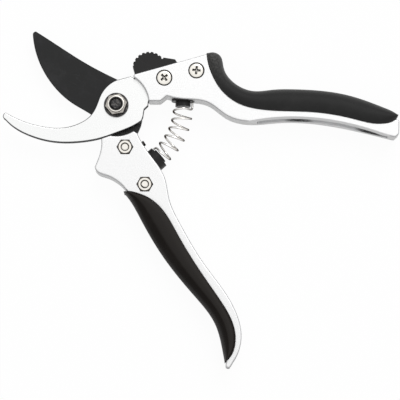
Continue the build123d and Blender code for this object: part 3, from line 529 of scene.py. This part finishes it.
# In these finishes, the amounts of darkening in narrow gaps are painted shade.
FINISHES: dict[Look, Finish] = {
    Look.ALLOY: GroovedFinish(
        colour=(0.882, 0.882, 0.882),
        worn=(0.74, 0.745, 0.75),
        metallic=0.5,
        rough_low=0.34,
        rough_high=0.46,
        grain_scale=1800.0,
        grain_height=0.00004,
        mottle=0.35,
        edge_tint=0.5,
        crevice_shade=0.9,
        # Painted shade on the handles' rounded edges.
        side=(0.42, 0.42, 0.43),
        side_full=0.7,
        side_none=0.97,
        side_wall=0.22,
    ),
    Look.PLATE: Finish(
        colour=(0.895, 0.90, 0.895),
        worn=(0.72, 0.72, 0.72),
        # Painted shade: near-black walls and bevels of the plated hook.
        side=(0.035, 0.035, 0.037),
        side_full=0.90,
        side_none=0.998,
        side_wall=0.06,
        metallic=1.0,
        rough_low=0.2,
        rough_high=0.3,
        grain_scale=1500.0,
        grain_height=0.00001,
        mottle=0.1,
        edge_tint=0.0,
        crevice_shade=0.6,
    ),
    Look.COATING: Finish(
        colour=(0.009, 0.0092, 0.0094),
        worn=(0.07, 0.07, 0.075),
        metallic=0.0,
        rough_low=0.36,
        rough_high=0.5,
        grain_scale=2200.0,
        grain_height=0.00002,
        scuffs=0.25,
        dust=0.2,
        specular=0.23,
        side=(0.30, 0.30, 0.31),
        side_full=0.97,
        side_none=0.99,
        side_wall=0.35,
    ),
    Look.RUBBER: LitEndFinish(
        colour=(0.0272, 0.0272, 0.0272),
        worn=(0.065, 0.065, 0.064),
        # Painted light: paler rounded rims of the grip.
        side=(0.080, 0.080, 0.079),
        side_full=0.25,
        side_none=0.90,
        metallic=0.0,
        rough_low=0.42,
        rough_high=0.56,
        grain_scale=1600.0,
        grain_height=0.00005,
        scuffs=0.1,
        dust=0.2,
        specular=0.06,
    ),
    Look.WARM_RUBBER: Finish(
        colour=(0.0255, 0.0230, 0.0212),
        worn=(0.050, 0.044, 0.040),
        # Painted shade: a darker band where the grip slopes.
        side=(0.0105, 0.0085, 0.0073),
        side_full=0.86,
        side_none=0.95,
        side_wall=0.56,
        metallic=0.0,
        rough_low=0.42,
        rough_high=0.56,
        grain_scale=1600.0,
        grain_height=0.00005,
        scuffs=0.1,
        dust=0.12,
        specular=0.06,
    ),
    Look.PLASTIC: Finish(
        colour=(0.008, 0.0076, 0.0074),
        worn=(0.045, 0.043, 0.042),
        metallic=0.0,
        rough_low=0.32,
        rough_high=0.46,
        grain_scale=1900.0,
        grain_height=0.00003,
        scuffs=0.2,
        specular=0.26,
    ),
    Look.SCREW: Finish(
        colour=(0.90, 0.87, 0.81),
        worn=(0.55, 0.52, 0.47),
        # Painted shade: darker rims of the domed screw heads.
        side=(0.10, 0.09, 0.075),
        side_full=0.40,
        side_none=0.92,
        crevice_shade_reach=2.6 * MM,
        metallic=1.0,
        rough_low=0.14,
        rough_high=0.26,
        grain_scale=1400.0,
        grain_height=0.00001,
        edge_tint=0.2,
        crevice_shade=0.95,
    ),
    Look.NUT: Finish(
        colour=(0.90, 0.87, 0.81),
        worn=(0.55, 0.52, 0.47),
        # Painted shade: darker chamfers and walls of the nuts.
        side=(0.09, 0.08, 0.07),
        side_full=0.86,
        side_none=0.97,
        metallic=1.0,
        rough_low=0.14,
        rough_high=0.26,
        grain_scale=1400.0,
        grain_height=0.00001,
        edge_tint=0.05,
        crevice_shade=0.4,
    ),
    Look.LOCKNUT: Finish(
        colour=(0.90, 0.87, 0.81),
        worn=(0.40, 0.38, 0.34),
        # Painted shade: darker chamfer of the locknut.
        side=(0.22, 0.20, 0.18),
        side_full=0.80,
        side_none=0.98,
        crevice_shade_reach=2.0 * MM,
        metallic=1.0,
        rough_low=0.10,
        rough_high=0.24,
        grain_scale=900.0,
        grain_height=0.00003,
        mottle=0.3,
        scuffs=0.5,
        edge_tint=0.2,
        crevice_shade=0.9,
    ),
    Look.OXIDE: Finish(
        colour=(0.020, 0.020, 0.021),
        worn=(0.20, 0.19, 0.18),
        metallic=0.6,
        rough_low=0.2,
        rough_high=0.4,
        grain_scale=900.0,
        grain_height=0.00005,
        mottle=0.5,
        scuffs=0.5,
    ),
    Look.STEEL: Finish(
        colour=(0.50, 0.49, 0.48),
        worn=(0.30, 0.29, 0.28),
        metallic=1.0,
        rough_low=0.2,
        rough_high=0.34,
        grain_scale=1700.0,
        grain_height=0.00001,
    ),
    Look.WIRE: Finish(
        colour=(0.86, 0.84, 0.81),
        worn=(0.50, 0.48, 0.46),
        # Painted shade: the wire darkens towards its sides, away from its upright top.
        side=(0.17, 0.15, 0.13),
        side_full=0.20,
        side_none=0.80,
        metallic=1.0,
        rough_low=0.18,
        rough_high=0.3,
        grain_scale=1700.0,
        grain_height=0.00001,
        edge_tint=0.1,
    ),
}


class Wardrobe:
    """All finishes, made once, and the CAD nodes that they dress."""

    def __init__(self, nodes: dict[str, bpy.types.Object]) -> None:
        """Make the materials.

        Args:
            nodes: CAD objects by name.
        """
        effects = SharedEffects()
        self.nodes = nodes
        self.materials = {look: finish.build(look.value, effects) for look, finish in FINISHES.items()}

    def dress(self, piece: bpy.types.Object, look: Look) -> None:
        """Give a piece one finish.

        Args:
            piece: Object to dress.
            look: Finish to show.
        """
        piece.data.materials.clear()
        piece.data.materials.append(self.materials[look])
        log.info("%s: %s", piece.name, look.value)

    def dress_nodes(self, looks: dict[str, Look]) -> None:
        """Give each CAD node the finish that stands beside its name."""
        for node, look in looks.items():
            self.dress(self.nodes[node], look)


def curve_through(points: Points, count: int) -> np.ndarray:
    """Smooth curve through points at even steps of its length.

    A cubic with no bend at its ends is fitted to each coordinate over the chord length, and the
    result is read again at even steps of the curve's own length.

    Args:
        points: Points in millimetres.
        count: Number of points of the curve.

    Returns:
        Array of count by 2 in metres.
    """
    knots = np.array(points) * MM
    chords = np.linalg.norm(np.diff(knots, axis=0), axis=1)
    at = np.concatenate([[0.0], np.cumsum(chords)])
    size = len(knots)
    system = np.eye(size)
    inner = np.arange(1, size - 1)
    system[inner, inner - 1] = chords[:-1]
    system[inner, inner] = 2 * (chords[:-1] + chords[1:])
    system[inner, inner + 1] = chords[1:]
    slopes = np.diff(knots, axis=0) / chords[:, None]
    right = np.zeros_like(knots)
    right[1:-1] = 6 * np.diff(slopes, axis=0)
    bend = np.linalg.solve(system, right)
    fine = np.linspace(0.0, at[-1], CURVE_READINGS * count)
    piece = np.clip(np.searchsorted(at, fine) - 1, 0, size - 2)
    step = chords[piece][:, None]
    after = (fine - at[piece])[:, None]
    before = step - after
    dense = (bend[piece] * before**3 + bend[piece + 1] * after**3) / (6 * step)
    dense += (knots[piece] / step - bend[piece] * step / 6) * before
    dense += (knots[piece + 1] / step - bend[piece + 1] * step / 6) * after
    run = np.concatenate([[0.0], np.cumsum(np.linalg.norm(np.diff(dense, axis=0), axis=1))])
    even = np.linspace(0.0, run[-1], count)
    return np.stack([np.interp(even, run, dense[:, axis]) for axis in (0, 1)], axis=1)


def surface_object(name: str, grid: np.ndarray, caps: bool) -> bpy.types.Object:
    """Mesh of a grid of points whose second direction closes on itself.

    Args:
        name: Name of the object.
        grid: Points, rows by columns by 3.
        caps: Whether the first and last rings are closed with a face.

    Returns:
        The object, linked to the scene and shaded smooth.
    """
    rows, columns = grid.shape[:2]
    index = np.arange(rows * columns).reshape(rows, columns)
    turned = np.roll(index, -1, axis=1)
    corners = [index[:-1], turned[:-1], turned[1:], index[1:]]
    faces = np.stack(corners, axis=-1).reshape(-1, 4).tolist()
    if caps:
        faces += [index[0, ::-1].tolist(), index[-1].tolist()]
    mesh = bpy.data.meshes.new(name)
    mesh.from_pydata(grid.reshape(-1, 3), [], faces)
    mesh.polygons.foreach_set("use_smooth", np.ones(len(faces), dtype=bool))
    mesh.update()
    piece = bpy.data.objects.new(name, mesh)
    bpy.context.scene.collection.objects.link(piece)
    return piece


@dataclass
class Grip:
    """Soft grip: a rounded section carried between an outer and an inner outline."""

    node: str
    body: Body
    outer: Points
    inner: Points
    look: Look
    ridge: float
    shoulder: float
    fullness: float
    end_share: float = 0.05
    stations: int = 180
    steps: int = 14
    wall_steps: int = 5

    def section(self) -> tuple[np.ndarray, np.ndarray]:
        """Half section from the inner wall over the ridge to the outer edge, then its mirror image.

        The wall rises straight to the shoulder, a quarter sine lifts it to the ridge, and a
        superellipse quarter takes it down to the outer edge.

        Returns:
            Shares of the width and of the half thickness round the section.
        """
        quarter = np.linspace(0.0, math.pi / 2, self.steps)
        wall = np.linspace(0.0, self.shoulder, self.wall_steps)[:-1]
        lift_across = self.ridge * quarter / (math.pi / 2)
        lift_height = self.shoulder + (1 - self.shoulder) * np.sin(quarter)
        fall_across = self.ridge + (1 - self.ridge) * np.sin(quarter[1:]) ** self.fullness
        fall_height = np.clip(np.cos(quarter[1:]), 0, 1) ** self.fullness
        across = np.concatenate([np.zeros_like(wall), lift_across, fall_across])
        height = np.concatenate([wall, lift_height, fall_height])
        return np.concatenate([across, across[-2:0:-1]]), np.concatenate([height, -height[-2:0:-1]])

    def build(self, wardrobe: Wardrobe) -> None:
        """Carry the section along the grip, in place of its CAD node.

        Near both ends the section's top sinks to the shoulder along a quarter circle.

        Args:
            wardrobe: Finishes.
        """
        low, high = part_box(self.node)
        middle = (low.z + high.z) / 2
        half = (high.z - low.z) / 2
        outer = curve_through(self.outer, self.stations)
        inner = curve_through(self.inner[::-1], self.stations)
        across, height = self.section()
        share = np.linspace(0.0, 1.0, self.stations)
        ends = np.minimum(share, 1 - share) / self.end_share
        lift = self.shoulder + (1 - self.shoulder) * np.sqrt(1 - (1 - np.clip(ends, 0, 1)) ** 2)
        flat = inner[:, None, :] + (outer - inner)[:, None, :] * across[None, :, None]
        level = middle + half * lift[:, None] * height[None, :]
        grid = np.concatenate([flat, level[:, :, None]], axis=2)
        piece = surface_object(self.node + "_skin", grid, caps=False)
        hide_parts(self.node)
        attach(piece, self.body.value)
        wardrobe.dress(piece, self.look)


@dataclass
class ReturnSpring:
    """Wire coil whose axis is bent round the pivot, with a straight leg into each seat."""

    orbit: float = 35.3 * MM
    coil_radius: float = 4.95 * MM
    wire_radius: float = 0.5 * MM
    turns: float = 5.5
    start: float = -0.8
    end: float = -49.4
    upper_leg: float = 2.85 * MM
    lower_leg: float = 0.45 * MM
    upper_spread: float = 15.5
    lower_spread: float = 16.5
    end_reach: float = 1.6
    samples: int = 420
    around: int = 14
    curve_steps: int = 16
    leg_steps: int = 6

    def centre_line(self, share: np.ndarray, middle: float) -> np.ndarray:
        """Helix about a circle: the radius swings by the coil's radius as the angle runs on.

        Args:
            share: Shares of the coil's length.
            middle: Level of the coil's axis.

        Returns:
            Points of the wire's centre line.
        """
        wind = share * self.turns * 2 * math.pi
        angle = np.radians(self.start + share * (self.end - self.start))
        radius = self.orbit + self.coil_radius * np.cos(wind)
        level = middle + self.coil_radius * np.sin(wind)
        return np.stack([radius * np.cos(angle), radius * np.sin(angle), level], axis=1)

    def turned_end(self, share: float, heading_angle: float, leg: float, middle: float) -> np.ndarray:
        """Leg square to a seat, then a curve that joins the coil a quarter turn on.

        The curve is a cubic that keeps the leg's heading at its start and the coil's at its end.

        Args:
            share: 0 for the coil's start, 1 for its end.
            heading_angle: Direction of the leg towards the coil, in degrees.
            leg: Length of the leg.
            middle: Level of the coil's axis.

        Returns:
            Points from the leg's end to the coil.
        """
        quarter = 0.25 / self.turns
        inside = share + quarter if share == 0 else share - quarter
        step = 1e-4 if share == 0 else -1e-4
        ends = self.centre_line(np.array([share, inside, inside + step]), middle)
        turn = math.radians(heading_angle)
        heading = np.array([math.cos(turn), math.sin(turn), 0.0])
        arriving = (ends[2] - ends[1]) / np.linalg.norm(ends[2] - ends[1])
        reach = self.end_reach * self.coil_radius
        t = np.linspace(0.0, 1.0, self.curve_steps)[:, None]
        curve = (2 * t**3 - 3 * t**2 + 1) * ends[0] + (t**3 - 2 * t**2 + t) * heading * reach
        curve += (3 * t**2 - 2 * t**3) * ends[1] + (t**3 - t**2) * arriving * reach
        straight = ends[0] - heading * leg * np.linspace(1.0, 0.0, self.leg_steps)[:-1, None]
        return np.concatenate([straight, curve[:-1]])

    def build(self, wardrobe: Wardrobe) -> None:
        """Carry a circle along the wire's centre line.

        Args:
            wardrobe: Finishes.
        """
        low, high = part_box("return_spring")
        middle = (low.z + high.z) / 2
        quarter = 0.25 / self.turns
        coil = self.centre_line(np.linspace(quarter, 1 - quarter, self.samples), middle)
        first = self.turned_end(0.0, self.start - 90, self.upper_leg, middle)
        last = self.turned_end(1.0, self.end + 90, self.lower_leg, middle)
        path = np.concatenate([first, coil, last[::-1]])
        along = np.gradient(path, axis=0)
        along /= np.linalg.norm(along, axis=1)[:, None]
        angle = np.arctan2(path[:, 1], path[:, 0])
        level = np.full_like(angle, middle)
        axis = np.stack([self.orbit * np.cos(angle), self.orbit * np.sin(angle), level], axis=1)
        out = path - axis
        out -= along * np.sum(out * along, axis=1)[:, None]
        out /= np.linalg.norm(out, axis=1)[:, None]
        side = np.cross(along, out)
        ring = np.linspace(0.0, 2 * math.pi, self.around, endpoint=False)
        circle = out[:, None, :] * np.cos(ring)[None, :, None]
        circle += side[:, None, :] * np.sin(ring)[None, :, None]
        grid = path[:, None, :] + self.wire_radius * circle
        piece = surface_object("return_spring_wire", grid, caps=True)
        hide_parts("return_spring")
        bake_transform(piece)
        wardrobe.dress(piece, Look.WIRE)


@dataclass
class HookSide:
    """Upper handle with its grip, the hook in it, and the screws that hold the two together."""

    grip_outer: Points = field(
        default_factory=lambda: [
            (47.8, 27.4), (51.3, 28.7), (54.9, 27.2), (56.9, 20.7), (62.6, 12.3),
            (72.7, 8.0), (82.5, 8.7), (94.3, 9.0), (122.7, 5.8), (131.8, 3.0),
            (142.4, -1.2), (147.4, -4.0), (149.0, -5.7),
        ]
    )
    grip_inner: Points = field(
        default_factory=lambda: [
            (149.0, -5.7), (148.4, -7.0), (146.0, -8.8), (140.3, -10.4), (125.5, -8.0), (103.8, -4.3),
            (76.7, -2.9), (64.3, 0.5), (52.6, 11.8), (47.8, 27.4),
        ]
    )
    looks: dict[str, Look] = field(
        default_factory=lambda: {
            "upper_handle": Look.ALLOY,
            "hook_blade": Look.PLATE,
            "hook_screws": Look.SCREW,
            "hook_nuts": Look.NUT,
            "upper_grip": Look.RUBBER,
        }
    )

    def build(self, wardrobe: Wardrobe) -> None:
        """Dress the CAD nodes and build the grip.

        Args:
            wardrobe: Finishes.
        """
        wardrobe.dress_nodes(self.looks)
        Grip(
            node="upper_grip",
            body=Body.HOOK_SIDE,
            outer=self.grip_outer,
            inner=self.grip_inner,
            look=self.looks["upper_grip"],
            ridge=0.40,
            shoulder=0.80,
            fullness=1.0,
        ).build(wardrobe)


@dataclass
class BladeSide:
    """Lower handle with its grip and bumper, the blade in it, and the screws that hold them."""

    grip_outer: Points = field(
        default_factory=lambda: [
            (57.2, -136.0), (56.1, -130.0), (52.2, -115.9), (41.5, -101.2), (26.0, -82.0),
            (13.2, -60.8), (6.7, -49.6), (4.2, -46.4),
        ]
    )
    grip_inner: Points = field(
        default_factory=lambda: [
            (4.2, -46.4), (13.7, -48.1), (23.7, -55.0), (31.6, -67.3),
            (42.9, -86.2), (55.1, -104.3), (62.3, -120.1), (60.7, -132.0), (57.2, -136.0),
        ]
    )
    looks: dict[str, Look] = field(
        default_factory=lambda: {
            "lower_handle": Look.ALLOY,
            "cutting_blade": Look.COATING,
            "blade_screws": Look.SCREW,
            "blade_nuts": Look.NUT,
            "stop_bumper": Look.WARM_RUBBER,
            "lower_grip": Look.WARM_RUBBER,
        }
    )

    def build(self, wardrobe: Wardrobe) -> None:
        """Dress the CAD nodes and build the grip.

        Args:
            wardrobe: Finishes.
        """
        wardrobe.dress_nodes(self.looks)
        Grip(
            node="lower_grip",
            body=Body.BLADE_SIDE,
            outer=self.grip_outer,
            inner=self.grip_inner,
            look=self.looks["lower_grip"],
            ridge=0.28,
            shoulder=0.90,
            fullness=1.05,
        ).build(wardrobe)


@dataclass
class PivotSet:
    """Bolt, washers and locknut that the two sides turn on."""

    looks: dict[str, Look] = field(
        default_factory=lambda: {
            "pivot_bolt": Look.OXIDE,
            "pivot_back_washer": Look.STEEL,
            "pivot_washer": Look.OXIDE,
            "pivot_nut": Look.LOCKNUT,
            "pivot_nut_insert": Look.PLASTIC,
        }
    )

    def build(self, wardrobe: Wardrobe) -> None:
        """Dress the CAD nodes."""
        wardrobe.dress_nodes(self.looks)


@dataclass
class LockSet:
    """Thumb button with the plate, pin and leaf spring below it."""

    looks: dict[str, Look] = field(
        default_factory=lambda: {
            "lock_button": Look.PLASTIC,
            "lock_plate": Look.STEEL,
            "lock_pin": Look.STEEL,
            "lock_leaf_spring": Look.STEEL,
        }
    )

    def build(self, wardrobe: Wardrobe) -> None:
        """Dress the CAD nodes."""
        wardrobe.dress_nodes(self.looks)


@dataclass
class SpringSet:
    """Return spring and the two seats that carry it."""

    spring: ReturnSpring = field(default_factory=ReturnSpring)
    looks: dict[str, Look] = field(
        default_factory=lambda: {
            "upper_spring_seat": Look.PLASTIC,
            "lower_spring_seat": Look.PLASTIC,
            "return_spring": Look.WIRE,
        }
    )

    def build(self, wardrobe: Wardrobe) -> None:
        """Dress the CAD nodes and build the spring."""
        wardrobe.dress_nodes(self.looks)
        self.spring.build(wardrobe)


@dataclass(frozen=True)
class Studio:
    """Pale floor, soft light from above and a camera at the picture's viewing angle."""

    target: tuple[float, float, float] = (44.3 * MM, -50.15 * MM, 8.5 * MM)
    elevation: float = 82.5
    distance: float = 1.2
    lens: float = 204.7
    floor_radius: float = 6.0
    floor_corners: int = 96
    floor_rough: float = 0.9
    floor_drop: float = 0.1 * MM
    floor_bounce: float = 0.3
    shadow_veil: float = 0.95
    zenith: float = 0.72
    horizon: float = 0.10
    dome_rise: float = 0.9
    key_power: float = 84.0
    key_size: float = 2.8
    key_place: tuple[float, float, float] = (1.0, 2.6, 3.0)

    def build(self) -> None:
        """Make the floor, the world, the lamp and the camera."""
        self._floor()
        self._world()
        self._lamp()
        self._camera()
        bpy.context.scene.view_settings.view_transform = "Standard"

    def _floor(self) -> None:
        """Round white floor below the shears; its shadows are thinned by white, its underside is clear."""
        turn = np.linspace(0.0, 2 * math.pi, self.floor_corners, endpoint=False)
        rim = np.stack([np.cos(turn), np.sin(turn), np.zeros_like(turn)], axis=1) * self.floor_radius
        rim[:, 2] = -self.floor_drop
        mesh = bpy.data.meshes.new("floor")
        mesh.from_pydata(rim, [], [list(range(len(rim)))])
        mesh.update()
        floor = bpy.data.objects.new("floor", mesh)
        bpy.context.scene.collection.objects.link(floor)
        material = bpy.data.materials.new("White floor")
        material.use_nodes = True
        material.node_tree.nodes.clear()
        graph = Graph(material.node_tree)
        seen = graph.seen_ray()
        paint = graph.mix(seen, (self.floor_bounce,) * 3, WHITE)
        shader = graph.add("ShaderNodeBsdfPrincipled")
        graph.feed(shader, Base_Color=paint, Roughness=self.floor_rough, Specular_IOR_Level=0.0)
        plain = graph.add("ShaderNodeEmission")
        veil = graph.add("ShaderNodeMixShader")
        graph.join(graph.math("MULTIPLY", seen, self.shadow_veil), veil.inputs[0])
        graph.join(shader.outputs["BSDF"], veil.inputs[1])
        graph.join(plain.outputs["Emission"], veil.inputs[2])
        under = graph.add("ShaderNodeMixShader")
        graph.join(graph.add("ShaderNodeNewGeometry").outputs["Backfacing"], under.inputs[0])
        graph.join(veil.outputs["Shader"], under.inputs[1])
        graph.join(graph.add("ShaderNodeBsdfTransparent").outputs["BSDF"], under.inputs[2])
        output = graph.add("ShaderNodeOutputMaterial")
        graph.join(under.outputs["Shader"], output.inputs["Surface"])
        mesh.materials.append(material)

    def _world(self) -> None:
        """Soft dome that is bright overhead and dimmer at the horizon; the camera sees plain white."""
        world = bpy.data.worlds.new("Studio dome")
        world.use_nodes = True
        world.node_tree.nodes.clear()
        graph = Graph(world.node_tree)
        way = graph.add("ShaderNodeSeparateXYZ")
        graph.join(graph.add("ShaderNodeTexCoord").outputs["Generated"], way.inputs[0])
        level = graph.ramp(way.outputs["Z"], 0.0, self.dome_rise, self.horizon, self.zenith)
        dome = graph.add("ShaderNodeBackground")
        graph.feed(dome, Color=(*WHITE, 1.0), Strength=level)
        plain = graph.add("ShaderNodeBackground")
        graph.feed(plain, Color=(*WHITE, 1.0))
        choice = graph.add("ShaderNodeMixShader")
        graph.join(graph.seen_ray(), choice.inputs[0])
        graph.join(dome.outputs[0], choice.inputs[1])
        graph.join(plain.outputs[0], choice.inputs[2])
        output = graph.add("ShaderNodeOutputWorld")
        graph.join(choice.outputs[0], output.inputs["Surface"])
        bpy.context.scene.world = world

    def _lamp(self) -> None:
        """One large soft lamp, high on the upper side of the picture and a little to its right."""
        lamp = bpy.data.lights.new("key", "AREA")
        lamp.energy = self.key_power
        lamp.size = self.key_size
        holder = bpy.data.objects.new("key", lamp)
        holder.location = Vector(self.target) + Vector(self.key_place)
        aim = Vector(self.target) - holder.location
        holder.rotation_euler = aim.to_track_quat("-Z", "Y").to_euler()
        bpy.context.scene.collection.objects.link(holder)

    def _camera(self) -> None:
        """Camera above the tool, leaning a little from the lower side of the picture."""
        lens = bpy.data.cameras.new("camera")
        lens.lens = self.lens
        camera = bpy.data.objects.new("camera", lens)
        lean = math.radians(self.elevation)
        back = Vector((0.0, -math.cos(lean), math.sin(lean)))
        camera.location = Vector(self.target) + back * self.distance
        camera.rotation_euler = (-back).to_track_quat("-Z", "Y").to_euler()
        bpy.context.scene.collection.objects.link(camera)
        bpy.context.scene.camera = camera


def main() -> None:
    """Build the tool and the studio."""
    logging.basicConfig(level=logging.INFO, format="%(name)s: %(message)s")
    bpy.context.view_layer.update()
    wardrobe = Wardrobe(frame["nodes"])
    for assembly in (HookSide(), BladeSide(), PivotSet(), LockSet(), SpringSet()):
        assembly.build(wardrobe)
        log.info("built %s", type(assembly).__name__)
    Studio().build()
    log.info("sizes written")


if __name__ == "__main__":
    main()
